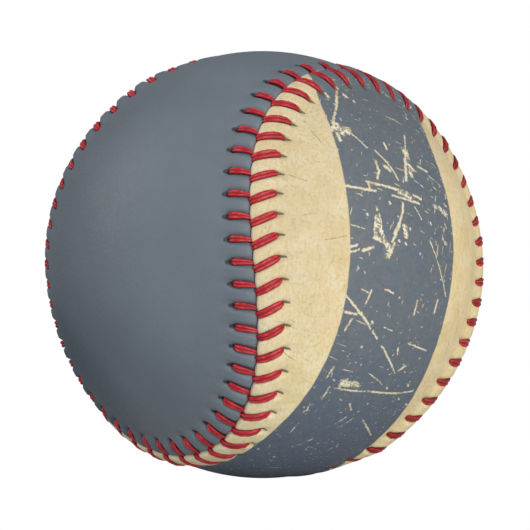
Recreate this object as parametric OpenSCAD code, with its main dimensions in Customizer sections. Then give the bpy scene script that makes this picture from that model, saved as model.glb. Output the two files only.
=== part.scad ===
/* [Ball] */
// Outside diameter over the smooth leather
ball_d = 74.2; // [72.8:0.1:74.8]
// Lean of the seam's axis from the vertical as the ball lies, in degrees
lean = 12; // [0:1:40]
// Room left between one layer and the next
layer_gap = 0.03; // [0.01:0.01:0.08]

/* [Pill] */
// Diameter of the cork and rubber nucleus
cork_d = 20.6; // [18:0.1:23]
// Wall of the black rubber half shells
half_shell_t = 4; // [3:0.1:5]
// Thickness of the red gasket between the half shells
gasket_t = 0.8; // [0.5:0.1:1.5]
// Wall of the red rubber jacket round the half shells
jacket_t = 2.4; // [1.5:0.1:3]

/* [Windings] */
// Thickness of the middle winding, three-ply white wool
white_wool_t = 1.7; // [1:0.1:2.5]
// Thickness of the outer winding, three-ply grey wool
grey_wool_t = 2.2; // [1.5:0.1:3]
// Thickness of the finishing winding, fine white cotton
cotton_t = 0.5; // [0.3:0.1:1]
// Thickness of the dried cement that the cover is stuck down with
cement_t = 0.15; // [0.1:0.05:0.3]

/* [Cover] */
// Thickness of the leather
leather_t = 1.3; // [1.1:0.1:1.5]
// Width of a panel's waist along the surface, from seam to seam
waist_w = 27.3; // [25:0.1:30]
// How far the panels' lobes swing out, as a share of the seam's main wave
lobe_share = 0.36; // [0.28:0.01:0.4]
// Gap between the two leather edges
seam_gap = 0.5; // [0.3:0.1:0.8]
// Height of the puckered leather between two stitches, over the smooth leather
pucker_h = 0.85; // [0.5:0.05:1]
// How far the pucker reaches from the middle of the seam
pucker_w = 5; // [4.6:0.1:6]

/* [Stitches] */
// Number of stitches round the whole seam, a multiple of four
stitches = 108; // [96:4:116]
// Diameter of the waxed thread
thread_d = 1.25; // [1:0.05:1.3]
// Room between the thread and the leather
thread_gap = 0.06; // [0.03:0.01:0.1]
// Distance from the seam to the punched holes of the plain panel
plain_hole_in = 3.4; // [3:0.1:3.6]
// Distance from the seam to the punched holes of the striped panel
striped_hole_in = 4; // [3.6:0.1:4.2]
// How far a strand on the plain panel leans along the seam
plain_strand_lean = 0.4; // [0:0.1:0.6]

/* [Hidden] */
$fn = 96;

plain_side = -1;
striped_side = 1;

// Layers, outer radius of each
ball_r = ball_d/2;
cover_inner_r = ball_r - leather_t;
cement_r = cover_inner_r - layer_gap;
cotton_r = cement_r - cement_t - layer_gap;
grey_wool_r = cotton_r - cotton_t - layer_gap;
white_wool_r = grey_wool_r - grey_wool_t - layer_gap;
inner_wool_r = white_wool_r - white_wool_t - layer_gap;
cork_r = cork_d/2;
half_shell_r = cork_r + layer_gap + half_shell_t;
jacket_r = half_shell_r + layer_gap + jacket_t;

// The seam is one closed wave on the ball, at a turn of 0 to 360 degrees
wave_b = lobe_share;
wave_a = 1 - wave_b;
waist_half_turn = waist_w/ball_d*180/PI;
wave_c = (wave_a - wave_b)/tan(waist_half_turn);
turn_nudge = 0.01;

// Lengths along the seam, on a ball of radius one, against the turn
table_step = 1;
seam_table = [
    for (t = 0, run = 0; t <= 360; run = run + norm(seam_dir(t + table_step) - seam_dir(t)), t = t + table_step)
        [run, t]
];
seam_run = seam_table[len(seam_table) - 1][0];

// Stitches are closer where the seam is nearly straight, by this share
pitch_wave_share = -0.06;

// Border of a panel: how far out each of its lines lies, and their heights at a stitch and
// halfway between two, where the leather swells
border_out_shares = [0, 0.12, 0.3, 0.52, 0.76, 1];
dip_shares = [0, 0.1, 0.2, 0.12, 0, 0];
swell_shares = [0.15, 0.62, 0.95, 1, 0.5, 0];
border_lines = len(border_out_shares) - 1;
// Lines from the border to the middle of the panel, and places along the seam
crown_lines = 5;
seam_places = 2*stitches;
// Facets of the ball that hollows out a panel, enough for its thin leather
hollow_facets = 240;

// A strand rises from its hole, lies in the dip of the border and ends at the seam
strand_lift_share = 0.44;
thread_r = thread_d/2;
strand_crown_h = pucker_h*strand_lift_share + thread_r + thread_gap;
strand_seam_h = thread_r + thread_gap;
strand_tip_h = thread_d*0.16;
strand_seam_in = thread_d*0.34;
striped_strand_lean = plain_strand_lean + thread_d*0.84;
hole_d = thread_d + thread_gap*6;
hole_shift = thread_d*0.2;
overrun = 1;

// Unit vector along a vector
function unit(v) = v/norm(v);

// Direction from the ball's centre to the seam at a turn
function seam_dir(t) = unit([
    wave_a*sin(t) - wave_b*sin(3*t),
    -wave_a*cos(t) - wave_b*cos(3*t),
    wave_c*sin(2*t)
]);

// Direction in which the seam runs at a turn
function seam_way(t) = unit(seam_dir(t + turn_nudge) - seam_dir(t - turn_nudge));

// Direction to a place beside the seam, so far across it and so far along it
function beside_seam(t, across, along) =
    let (out = seam_dir(t), way = seam_way(t), aside = cross(way, out))
    let (far = norm([across, along]), turn = far/ball_r*180/PI)
    far == 0 ? out : out*cos(turn) + (way*along + aside*across)*sin(turn)/far;

// Turn at a share of the way round the seam, with the spacing wave of the stitches
function seam_turn(share) =
    let (waved = share + pitch_wave_share*sin(4*360*share)/(8*PI), rounds = floor(waved))
    360*rounds + lookup((waved - rounds)*seam_run, seam_table);

// Turn of a stitch, which may be a half one
function stitch_turn(i) = seam_turn(i/stitches);

function hole_in(side) = side == plain_side ? plain_hole_in : striped_hole_in;
function strand_lean(side) = side == plain_side ? plain_strand_lean : striped_strand_lean;

// How far down the seam the strand has run at a distance from the seam
function strand_along(side, across) =
    -strand_lean(side)*max(0, hole_in(side) - across)/(hole_in(side) - strand_seam_in);

// Centre of the circle through three points
function circle_centre(p, q, s) =
    let (a = q - p, b = s - p, n = cross(a, b))
    p + (cross(n, a)*(b*b) + cross(b, n)*(a*a))/(2*(n*n));

module as_it_lies() rotate([0, lean, 0]) children();

module hollow_ball(outer_r, inner_r) {
    difference() {
        sphere(r = outer_r);
        sphere(r = inner_r);
    }
}

// Half the space, on the +X side of a plane, out past a radius
module half_space(from_x, past_r) {
    translate([from_x, -past_r, -past_r]) cube([past_r, 2*past_r, 2*past_r]);
}

module half_shell() {
    intersection() {
        hollow_ball(half_shell_r, cork_r + layer_gap);
        half_space(gasket_t/2 + layer_gap, half_shell_r + overrun);
    }
}

// Point of a panel's border, at half stitch i, on border line j
function border_point(side, i, j) =
    let (across = seam_gap/2 + (pucker_w - seam_gap/2)*border_out_shares[j])
    let (rise_share = i % 2 == 0 ? dip_shares[j] : swell_shares[j])
    beside_seam(stitch_turn(i/2), side*across, strand_along(side, across))*(ball_r + pucker_h*rise_share);

// Point in the middle of a panel beside a point of its border: the panel is alike on both sides of it
function middle_point(side, p) = unit([p.x - side*p.y, p.y - side*p.x, 2*p.z])*ball_r;

// Solid panel down to the ball's centre, with its border drawn up by the stitches
module panel_block(side) {
    n = seam_places;
    // The border starts at the tip of a lobe, where the middle line ends too
    lobe_tip = side*stitches/4;
    borders = [for (i = [0:n - 1]) [for (j = [0:border_lines]) border_point(side, lobe_tip + i, j)]];
    inner_edge = [for (border = borders) border[border_lines]];
    middle = [for (p = inner_edge) middle_point(side, p)];
    columns = [
        for (i = [0:n - 1]) concat(
            borders[i],
            [for (k = [1:crown_lines - 1])
                unit(inner_edge[i]*(1 - k/crown_lines) + middle[i]*k/crown_lines)*ball_r]
        )
    ];
    per = border_lines + crown_lines;
    points = concat([[0, 0, 0]], [for (c = columns) each c], [for (i = [1:n/2 - 1]) middle[i]]);
    function at(place, j) =
        let (i = place % n, at_tip = i % (n/2) == 0)
        j <= border_lines ? 1 + i*per + j
        : at_tip ? 1 + i*per + border_lines
        : j < per ? 1 + i*per + j
        : n*per + min(i, n - i);
    cells = [
        for (i = [0:n - 1], j = [0:per - 1])
            each [[at(i, j), at(i + 1, j), at(i + 1, j + 1)], [at(i, j), at(i + 1, j + 1), at(i, j + 1)]]
    ];
    walls = [for (i = [0:n - 1]) [0, at(i + 1, 0), at(i, 0)]];
    faces = [for (f = concat(walls, cells)) if (f[0] != f[1] && f[1] != f[2] && f[2] != f[0]) f];
    polyhedron(points, side == plain_side ? faces : [for (f = faces) [f[0], f[2], f[1]]]);
}

// Punched holes along one edge of the seam
module stitch_holes(side) {
    for (i = [0:stitches - 1]) {
        out = beside_seam(stitch_turn(i), side*(hole_in(side) - hole_shift), 0);
        rotate([0, acos(out.z), atan2(out.y, out.x)])
            translate([0, 0, cover_inner_r - overrun])
                cylinder(d = hole_d, h = leather_t + pucker_h + 2*overrun, $fn = 24);
    }
}

module cover_panel(side) {
    difference() {
        panel_block(side);
        sphere(r = cover_inner_r, $fn = hollow_facets);
        stitch_holes(side);
    }
}

// Round bar bent on the circle through three points
module bent_bar(start, crown, end) {
    middle = circle_centre(start, crown, end);
    x = unit(start - middle);
    z = unit(cross(crown - start, end - start));
    y = cross(z, x);
    sweep = acos(unit(end - middle)*x);
    multmatrix([
        [x.x, y.x, z.x, middle.x],
        [x.y, y.y, z.y, middle.y],
        [x.z, y.z, z.z, middle.z],
        [0, 0, 0, 1]
    ])
        rotate_extrude(angle = sweep, $fn = 48)
            translate([norm(start - middle), 0]) circle(r = thread_r, $fn = 16);
}

// Every strand of thread that shows on one side of the seam
module strands(side) {
    for (i = [0:stitches - 1]) {
        t = stitch_turn(i);
        half_in = (hole_in(side) + strand_seam_in)/2;
        bent_bar(
            beside_seam(t, side*hole_in(side), 0)*(ball_r + strand_tip_h),
            beside_seam(t, side*half_in, strand_along(side, half_in))*(ball_r + strand_crown_h),
            beside_seam(t, side*strand_seam_in, strand_along(side, strand_seam_in))*(ball_r + strand_seam_h)
        );
    }
}

module cork_core() {
    color("peru") sphere(r = cork_r);
}

module black_half_shell_left() {
    color("dimgray") mirror([1, 0, 0]) half_shell();
}

module black_half_shell_right() {
    color("dimgray") half_shell();
}

module red_gasket() {
    color("firebrick")
        rotate([0, 90, 0])
            difference() {
                cylinder(r = half_shell_r, h = gasket_t, center = true);
                cylinder(r = cork_r + layer_gap, h = gasket_t + 2*overrun, center = true);
            }
}

module red_jacket() {
    color("brown") hollow_ball(jacket_r, half_shell_r + layer_gap);
}

module inner_grey_wool() {
    color("gray") hollow_ball(inner_wool_r, jacket_r + layer_gap);
}

module white_wool() {
    color("ivory") hollow_ball(white_wool_r, inner_wool_r + layer_gap);
}

module outer_grey_wool() {
    color("darkgray") hollow_ball(grey_wool_r, white_wool_r + layer_gap);
}

module cotton_winding() {
    color("white") hollow_ball(cotton_r, grey_wool_r + layer_gap);
}

module cement_coat() {
    color("khaki") hollow_ball(cement_r, cement_r - cement_t);
}

module plain_cover_panel() {
    color("slategray") as_it_lies() cover_panel(plain_side);
}

module striped_cover_panel() {
    color("wheat") as_it_lies() cover_panel(striped_side);
}

module plain_side_thread() {
    color("crimson") as_it_lies() strands(plain_side);
}

module striped_side_thread() {
    color("crimson") as_it_lies() strands(striped_side);
}

cork_core();
black_half_shell_left();
black_half_shell_right();
red_gasket();
red_jacket();
inner_grey_wool();
white_wool();
outer_grey_wool();
cotton_winding();
cement_coat();
plain_cover_panel();
striped_cover_panel();
plain_side_thread();
striped_side_thread();
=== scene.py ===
"""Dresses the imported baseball: leather cover, red lacing, wound core, floor, light and camera.

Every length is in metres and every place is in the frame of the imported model, with the ball's
centre at the origin. Lengths that are easier to read in millimetres are a number times MM, or
have mm in their name. In the finishes, the scale of a noise or of cells is how many of them there
are to a metre, and a step is given by its two ends and the values there.
"""
import logging
import math
from collections.abc import Callable, Iterator
from contextlib import contextmanager
from dataclasses import dataclass, field
from enum import Enum

import bpy
import numpy as np
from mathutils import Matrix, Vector


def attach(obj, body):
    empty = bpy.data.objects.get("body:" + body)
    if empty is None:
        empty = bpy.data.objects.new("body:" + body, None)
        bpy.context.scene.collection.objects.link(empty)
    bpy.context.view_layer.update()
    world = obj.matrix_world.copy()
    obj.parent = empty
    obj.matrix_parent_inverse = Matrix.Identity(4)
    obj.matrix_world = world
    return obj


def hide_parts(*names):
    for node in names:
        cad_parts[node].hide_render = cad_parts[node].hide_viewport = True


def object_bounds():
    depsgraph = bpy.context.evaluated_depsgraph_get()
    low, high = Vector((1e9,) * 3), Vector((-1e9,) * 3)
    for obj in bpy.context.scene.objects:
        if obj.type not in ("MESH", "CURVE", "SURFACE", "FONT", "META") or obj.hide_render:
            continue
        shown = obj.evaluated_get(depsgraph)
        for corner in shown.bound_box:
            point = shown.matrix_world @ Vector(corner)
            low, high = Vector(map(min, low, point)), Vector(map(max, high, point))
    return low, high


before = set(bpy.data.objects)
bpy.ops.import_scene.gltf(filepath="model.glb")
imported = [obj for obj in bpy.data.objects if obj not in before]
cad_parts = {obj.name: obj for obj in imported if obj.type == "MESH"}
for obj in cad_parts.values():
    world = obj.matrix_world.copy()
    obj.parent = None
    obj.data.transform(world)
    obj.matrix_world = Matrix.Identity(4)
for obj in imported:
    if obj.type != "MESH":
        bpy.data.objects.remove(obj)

MM = 0.001
BALL_R = 37.1 * MM
PITCH = 3.75 * MM
BELL_SHARE = 0.6
BODY = "root"
SEAM_MAP = "seam"
CAD_BOX = [list(corner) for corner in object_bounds()]
LOG = logging.getLogger("baseball")

Colour = tuple[float, float, float]
Socket = bpy.types.NodeSocket


class Side(Enum):
    """Side of the seam, as the sign of a distance across it."""

    PLAIN = -1
    STRIPED = 1


def smooth_step(low: float, high: float, value: np.ndarray) -> np.ndarray:
    """Rises smoothly from 0 at low to 1 at high, or falls where high is the lesser."""
    share = np.clip((value - low) / (high - low), 0.0, 1.0)
    return share * share * (3.0 - 2.0 * share)


def hump(value: np.ndarray, middle: float, width: float) -> np.ndarray:
    """Bell of height 1 round a middle, with the width at which it has nearly died away."""
    return np.exp(-(((value - middle) / (BELL_SHARE * width)) ** 2))


def unit_rows(rows: np.ndarray) -> np.ndarray:
    """The rows as unit vectors."""
    return rows / np.linalg.norm(rows, axis=-1, keepdims=True)


def around(azimuth_deg: float, elevation_deg: float, away: float) -> Vector:
    """Place round the ball's centre.

    Args:
        azimuth_deg: Degrees round from the front, positive to the right.
        elevation_deg: Degrees above the centre.
        away: Distance from the centre.

    Returns:
        The place.
    """
    azimuth, elevation = math.radians(azimuth_deg), math.radians(elevation_deg)
    return away * Vector((
        math.sin(azimuth) * math.cos(elevation),
        -math.cos(azimuth) * math.cos(elevation),
        math.sin(elevation),
    ))


def show_only(piece: bpy.types.Object) -> None:
    """Makes a piece the only one selected, and active.

    Args:
        piece: The piece.
    """
    bpy.ops.object.select_all(action="DESELECT")
    piece.select_set(True)
    bpy.context.view_layer.objects.active = piece


@contextmanager
def editing(action: str = "SELECT") -> Iterator[None]:
    """Edit mode on the active piece.

    Args:
        action: SELECT starts with all of it selected, DESELECT with nothing.

    Yields:
        Nothing; the piece is back in object mode afterwards.
    """
    bpy.ops.object.mode_set(mode="EDIT")
    bpy.ops.mesh.select_all(action=action)
    yield
    bpy.ops.object.mode_set(mode="OBJECT")


def vertex_places(mesh: bpy.types.Mesh) -> np.ndarray:
    """Places of a mesh's vertices.

    Args:
        mesh: The mesh to read.

    Returns:
        One row for each vertex.
    """
    flat = np.empty(len(mesh.vertices) * 3, dtype=np.float64)
    mesh.vertices.foreach_get("co", flat)
    return flat.reshape(-1, 3)


def move_vertices(mesh: bpy.types.Mesh, places: np.ndarray) -> None:
    """Puts a mesh's vertices at new places, one row each."""
    mesh.vertices.foreach_set("co", places.astype(np.float32).ravel())
    mesh.update()


@dataclass(frozen=True)
class SeamCurve:
    """The closed seam of the two panels, and the spacing of its stitches."""

    ball_r: float = BALL_R
    inner_r: float = 35.8 * MM
    waist_w: float = 27.3 * MM
    lobe_share: float = 0.36
    lean_deg: float = 12.0
    stitches: int = 108
    pitch_wave_share: float = -0.06
    pitch_waves: int = 4
    table_size: int = 7200
    nudge: float = 1e-4
    least_far: float = 1e-9

    def direction(self, turn: np.ndarray) -> np.ndarray:
        """Unit vectors from the ball's centre to the seam, before the lean.

        Args:
            turn: Turns in radians.

        Returns:
            One vector for each turn.
        """
        wave_b = self.lobe_share
        wave_a = 1.0 - wave_b
        wave_c = (wave_a - wave_b) / math.tan(self.waist_w / (2.0 * self.ball_r))
        return unit_rows(
            np.stack(
                [
                    wave_a * np.sin(turn) - wave_b * np.sin(3.0 * turn),
                    -wave_a * np.cos(turn) - wave_b * np.cos(3.0 * turn),
                    wave_c * np.sin(2.0 * turn),
                ],
                axis=-1,
            )
        )

    def turn_at(self, place: np.ndarray) -> np.ndarray:
        """Turn of the seam at a stitch number, which may lie between two stitches.

        Args:
            place: Stitch numbers, also below 0 or past the last.

        Returns:
            Turns in radians.
        """
        turns = np.linspace(0.0, 2.0 * math.pi, self.table_size + 1)
        steps = np.linalg.norm(np.diff(self.direction(turns), axis=0), axis=1)
        run = np.concatenate([[0.0], np.cumsum(steps)])
        share = np.asarray(place, dtype=float) / self.stitches
        waves = 2.0 * math.pi * self.pitch_waves
        waved = share + self.pitch_wave_share * np.sin(waves * share) / waves
        rounds = np.floor(waved)
        return rounds * 2.0 * math.pi + np.interp((waved - rounds) * run[-1], run, turns)

    def beside(self, place: np.ndarray, across: np.ndarray, along: np.ndarray) -> np.ndarray:
        """Directions to places beside the seam, before the lean.

        Args:
            place: Stitch numbers along the seam.
            across: Signed distances across it, towards the striped panel.
            along: Distances along it.

        Returns:
            Unit vectors from the ball's centre, one row each.
        """
        turn = self.turn_at(place)
        out = self.direction(turn)
        way = unit_rows(self.direction(turn + self.nudge) - self.direction(turn - self.nudge))
        aside = np.cross(way, out)
        far = np.hypot(across, along)
        angle = (far / self.ball_r)[..., None]
        step = way * along[..., None] + aside * across[..., None]
        step = step * np.sin(angle) / np.maximum(far, self.least_far)[..., None]
        return out * np.cos(angle) + step

    def out_at(self, place: np.ndarray) -> np.ndarray:
        """Unit vectors from the ball's centre to the seam at stitch numbers, with the lean."""
        return self.lean(self.direction(self.turn_at(place)))

    def lean(self, rows: np.ndarray) -> np.ndarray:
        """Turns places by the lean that the ball lies with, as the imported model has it.

        Args:
            rows: Places or directions before the lean.

        Returns:
            The same with the lean.
        """
        angle = math.radians(self.lean_deg)
        x, y, z = rows[..., 0], rows[..., 1], rows[..., 2]
        return np.stack(
            [
                x * math.cos(angle) + z * math.sin(angle),
                y,
                -x * math.sin(angle) + z * math.cos(angle),
            ],
            axis=-1,
        )


@dataclass(frozen=True)
class CalmSpot:
    """Round patch of the ball where a side of the seam is drawn up less.

    The patch is given by its middle and by the cosines of the angles from it at which the calm
    starts and is full.
    """

    way: tuple[float, float, float]
    starts_at: float
    full_at: float

    def share(self, out: np.ndarray) -> np.ndarray:
        """How calm the seam is in a direction, 0 to 1."""
        return smooth_step(self.starts_at, self.full_at, out @ np.array(self.way))


@dataclass(frozen=True)
class StitchLine:
    """Where the strands of one side lie on the leather, and where they lie flatter."""

    hole_in: float
    lean: float
    calm_drop: float
    calm_spots: tuple[CalmSpot, ...]
    seam_in: float = 0.425 * MM

    def calm(self, out: np.ndarray) -> np.ndarray:
        """How calm this side is at directions of the seam, 0 to 1."""
        return np.max([spot.share(out) for spot in self.calm_spots], axis=0)

    def along(self, across: np.ndarray) -> np.ndarray:
        """How far down the seam a strand has run at a distance from the seam."""
        return -self.lean * np.maximum(0.0, self.hole_in - across) / (self.hole_in - self.seam_in)


TOP_SPOT = CalmSpot((-0.18, 0.14, 0.97), 0.90, 0.97)
FOOT_SPOT = CalmSpot((0.17, 0.14, -0.97), 0.90, 0.97)
LEFT_SPOT = CalmSpot((-0.98, 0.0, 0.2), 0.50, 0.72)
STITCH_LINES = {
    Side.PLAIN: StitchLine(3.4 * MM, 0.4 * MM, 0.5 * MM, (TOP_SPOT, FOOT_SPOT)),
    Side.STRIPED: StitchLine(4.0 * MM, 1.45 * MM, 1.0 * MM, (TOP_SPOT, FOOT_SPOT, LEFT_SPOT)),
}


class Graph:
    """A shader node tree that is filled in step by step."""

    def __init__(self, tree: bpy.types.NodeTree) -> None:
        """Starts with a tree and empties it."""
        self.tree = tree
        tree.nodes.clear()

    def add(self, kind: str, **settings: object) -> bpy.types.Node:
        """Adds a node.

        Args:
            kind: Blender's name for the kind of node.
            **settings: The node's own settings by name.

        Returns:
            The new node.
        """
        node = self.tree.nodes.new(kind)
        for name, value in settings.items():
            setattr(node, name, value)
        return node

    def feed(self, socket: Socket, value: object) -> None:
        """Links a socket to another, or gives it a constant.

        Args:
            socket: The input to set.
            value: An output, or a number, vector or colour.
        """
        if isinstance(value, Socket):
            self.tree.links.new(value, socket)
        elif isinstance(value, tuple) and len(value) == 3 and socket.type == "RGBA":
            socket.default_value = (*value, 1.0)
        else:
            socket.default_value = value

    def put(self, kind: str, *values: object, output: int | str = 0,
            named: dict[str, object] | None = None, **settings: object) -> Socket:
        """Adds a node with its inputs fed.

        Args:
            kind: Blender's name for the kind of node.
            *values: Values of its first inputs, in their order.
            output: Number or name of the output that is wanted.
            named: Values of other inputs by name.
            **settings: The node's own settings by name.

        Returns:
            The output.
        """
        node = self.add(kind, **settings)
        for socket, value in zip(node.inputs, values):
            self.feed(socket, value)
        for name, value in (named or {}).items():
            self.feed(node.inputs[name], value)
        return node.outputs[output]

    def math(self, operation: str, *values: object) -> Socket:
        """One sum on one to three numbers."""
        return self.put("ShaderNodeMath", *values, operation=operation)

    def times(self, first: object, second: object) -> Socket:
        """The product of two numbers."""
        return self.math("MULTIPLY", first, second)

    def held(self, value: object, highest: object = 1.0) -> Socket:
        """A number held between nothing and a highest value."""
        return self.math("MINIMUM", self.math("MAXIMUM", value, 0.0), highest)

    def vector(self, operation: str, *values: object) -> Socket:
        """One sum on vectors; the result is a vector."""
        return self.put("ShaderNodeVectorMath", *values, operation=operation)

    def dot(self, first: object, second: object) -> Socket:
        """Dot product of two vectors."""
        return self.put("ShaderNodeVectorMath", first, second, output="Value",
                        operation="DOT_PRODUCT")

    def scaled(self, vector: object, factor: object) -> Socket:
        """A vector times a number."""
        return self.put("ShaderNodeVectorMath", vector, named={"Scale": factor},
                        operation="SCALE")

    def split(self, vector: object) -> list[Socket]:
        """The three numbers of a vector."""
        return list(self.put("ShaderNodeSeparateXYZ", vector).node.outputs)

    def join(self, x: object, y: object, z: object) -> Socket:
        """A vector from three numbers."""
        return self.put("ShaderNodeCombineXYZ", x, y, z)

    def step(self, value: object, low: object, high: object, to_low: float = 0.0,
             to_high: float = 1.0) -> Socket:
        """Smooth step of a number from to_low at low to to_high at high."""
        return self.put("ShaderNodeMapRange", value, low, high, to_low, to_high,
                        interpolation_type="SMOOTHSTEP")

    def noise(self, vector: object, scale: float, detail: float = 2.0,
              roughness: float = 0.5) -> Socket:
        """Soft noise from 0 to 1."""
        values = {"Vector": vector, "Scale": scale, "Detail": detail, "Roughness": roughness}
        return self.put("ShaderNodeTexNoise", output="Fac", named=values)

    def wander(self, vector: object, reach: float, *noise: float) -> Socket:
        """A place moved a little way by noise, with the noise's scale, detail and roughness."""
        value = self.noise(vector, *noise)
        return self.vector("ADD", vector, self.scaled(self.join(value, value, value), reach))

    def cells(self, vector: object, scale: object) -> bpy.types.bpy_prop_collection:
        """Outputs of a cell pattern: the Distance from each cell's middle, and its Color."""
        values = {"Vector": vector, "Scale": scale}
        return self.put("ShaderNodeTexVoronoi", named=values, feature="F1").node.outputs

    def blend(self, share: object, first: object, second: object, how: str = "MIX") -> Socket:
        """A mix of two colours.

        Args:
            share: How much of the second there is.
            first: A colour.
            second: A colour.
            how: Blender's name for the way of mixing.

        Returns:
            The mixed colour.
        """
        node = self.add("ShaderNodeMix", data_type="RGBA", blend_type=how)
        wanted = {"Factor_Float": share, "A_Color": first, "B_Color": second}
        for socket in node.inputs:
            if socket.identifier in wanted:
                self.feed(socket, wanted[socket.identifier])
        return next(s for s in node.outputs if s.identifier == "Result_Color")

    def tint(self, base: object, colour: object, value: object, *step: float) -> Socket:
        """A colour with another blended in by a smooth step of a number."""
        return self.blend(self.step(value, *step), base, colour)

    def dab(self, base: object, colour: object, mask: object, strength: object) -> Socket:
        """A colour with another blended in by a mask times a strength."""
        return self.blend(self.times(mask, strength), base, colour)

    def toned(self, base: object, tone: object) -> Socket:
        """A colour times another."""
        return self.blend(1.0, base, tone, "MULTIPLY")

    def bump(self, height: object, distance: float, strength: float) -> Socket:
        """Normal that a height from 0 to 1 gives over a distance."""
        values = {"Height": height, "Distance": distance, "Strength": strength}
        return self.put("ShaderNodeBump", output="Normal", named=values)


@dataclass
class Effect:
    """A node group that finishes share, built the first time that one of them places it."""

    fill: Callable[..., tuple[Socket, ...]]
    inputs: dict[str, str]
    outputs: tuple[str, ...]
    tree: bpy.types.NodeTree | None = None

    def build(self) -> bpy.types.NodeTree:
        """Makes the group with its sockets and lets fill add what is between them.

        Returns:
            The group, named as the function that fills it.
        """
        name = self.fill.__name__.replace("_", " ")
        tree = bpy.data.node_groups.new(name, "ShaderNodeTree")
        for label, kind in self.inputs.items():
            tree.interface.new_socket(label, in_out="INPUT", socket_type=f"NodeSocket{kind}")
        for label in self.outputs:
            tree.interface.new_socket(label, in_out="OUTPUT", socket_type="NodeSocketFloat")
        graph = Graph(tree)
        given, result = graph.add("NodeGroupInput"), graph.add("NodeGroupOutput")
        made = self.fill(graph, *(given.outputs[label] for label in self.inputs))
        for label, socket in zip(self.outputs, made):
            graph.feed(result.inputs[label], socket)
        return tree

    def place(self, graph: Graph, **values: object) -> bpy.types.bpy_prop_collection:
        """Places the group in a material.

        Args:
            graph: The material's graph.
            **values: Values of the group's inputs by name.

        Returns:
            The group's outputs.
        """
        self.tree = self.tree or self.build()
        return graph.put("ShaderNodeGroup", named=values, node_tree=self.tree).node.outputs


def leather_grain(graph: Graph, point: Socket, pebbles: Socket) -> tuple[Socket, ...]:
    """Fine pebbled grain with soft creases between the pebbles.

    Args:
        graph: The group's graph.
        point: Place on the piece.
        pebbles: How many pebbles there are to a metre.

    Returns:
        The height and a slow change of tone.
    """
    pebble = graph.cells(graph.wander(point, 1.6 * MM, 260.0, 3.0), pebbles)
    crease = graph.step(pebble["Distance"], 0.15, 0.75, 1.0, 0.0)
    fine = graph.noise(point, 5200.0)
    return graph.math("ADD", crease, graph.times(fine, 0.35)), graph.noise(point, 70.0, 4.0, 0.6)


def speckle(graph: Graph, point: Socket, specks: Socket, amount: Socket) -> tuple[Socket, ...]:
    """Scattered specks of uneven size.

    Args:
        graph: The group's graph.
        point: Place on the piece.
        specks: How many cells there are to a metre, each with room for one speck.
        amount: Share of the cells that hold one.

    Returns:
        The mask.
    """
    cell = graph.cells(point, specks)
    chance = graph.split(cell["Color"])
    past = graph.math("SUBTRACT", cell["Distance"], graph.times(chance[1], 0.34))
    spot = graph.step(past, -0.12, 0.06, 1.0, 0.0)
    return (graph.times(spot, graph.math("LESS_THAN", chance[0], amount)),)


def scratch(graph: Graph, point: Socket, start: Socket, run: Socket, pull: Socket,
            width: Socket, least: Socket) -> tuple[Socket, ...]:
    """Distance from one straight scratch, in half widths, or the least so far if that is less.

    Args:
        graph: The group's graph.
        point: Place on the piece.
        start: Where the scratch starts.
        run: From there to its end.
        pull: The run divided by its length squared.
        width: Half the scratch's width.
        least: Least distance from the scratches before it.

    Returns:
        The new least distance.
    """
    away = graph.vector("SUBTRACT", point, start)
    nearest = graph.scaled(run, graph.held(graph.dot(away, pull)))
    off = graph.put("ShaderNodeVectorMath", graph.vector("SUBTRACT", away, nearest),
                    output="Value", operation="LENGTH")
    return (graph.math("MINIMUM", graph.math("DIVIDE", off, width), least),)


# For each way that the dashes run: the direction along them and two across them
DASH_WAYS = (
    ((0.25, 0.3, 0.92), (0.95, 0.1, -0.29), (-0.18, 0.95, -0.26)),
    ((0.80, 0.5, -0.34), (0.42, -0.85, -0.3), (-0.44, 0.1, -0.89)),
)
DASHES_LENGTHWISE, DASHES_CROSSWISE = 330.0, 1900.0


def dashes(graph: Graph, point: Socket, amount: Socket) -> tuple[Socket, ...]:
    """Sparse short dashes that run two ways.

    Args:
        graph: The group's graph.
        point: Place on the piece.
        amount: A higher amount leaves fewer of them.

    Returns:
        The mask.
    """
    total: object = 0.0
    for ways in DASH_WAYS:
        counts = (DASHES_LENGTHWISE, DASHES_CROSSWISE, DASHES_CROSSWISE)
        stretched = graph.join(
            *(graph.times(graph.dot(point, way), count) for way, count in zip(ways, counts))
        )
        past = graph.math("SUBTRACT", graph.noise(stretched, 1.0), amount)
        total = graph.math("MAXIMUM", total, graph.step(past, 0.0, 0.03))
    return (total,)


def hole_shade_mask(graph: Graph, seam: Socket, start: Socket, end: Socket, width: Socket,
                up: Socket, slope: Socket) -> tuple[Socket, ...]:
    """Mask of the painted shade in the mouth of a punched hole, repeated at every stitch along a
    seam map.

    Args:
        graph: The group's graph.
        seam: The seam map.
        start: Distance from the seam at which the mark starts, as all here in millimetres.
        end: Distance at which it ends.
        width: Its half width, which tapers towards the end.
        up: How far along the seam from the stitch it starts.
        slope: How much further along it lies for each millimetre across.

    Returns:
        The mask.
    """
    place, across, _ = graph.split(seam)
    near = graph.math("SUBTRACT", place, graph.math("ROUND", place))
    along = graph.times(near, PITCH / MM)
    run = graph.math("SUBTRACT", across, start)
    track = graph.math("ADD", up, graph.times(run, slope))
    aside = graph.math("ABSOLUTE", graph.math("SUBTRACT", along, track))
    length = graph.math("SUBTRACT", end, start)
    held = graph.held(run, length)
    over = graph.math("SUBTRACT", run, held)
    squares = graph.math("ADD", graph.times(aside, aside), graph.times(over, over))
    gone = graph.math("DIVIDE", held, length)
    taper = graph.math("MULTIPLY_ADD", gone, -0.4, 1.0)
    shape = graph.math("DIVIDE", graph.math("SQRT", squares), graph.times(width, taper))
    fade = graph.math("MULTIPLY_ADD", gone, -0.15, 1.0)
    return (graph.times(graph.step(shape, 0.3, 1.3, 1.0, 0.0), fade),)


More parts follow.
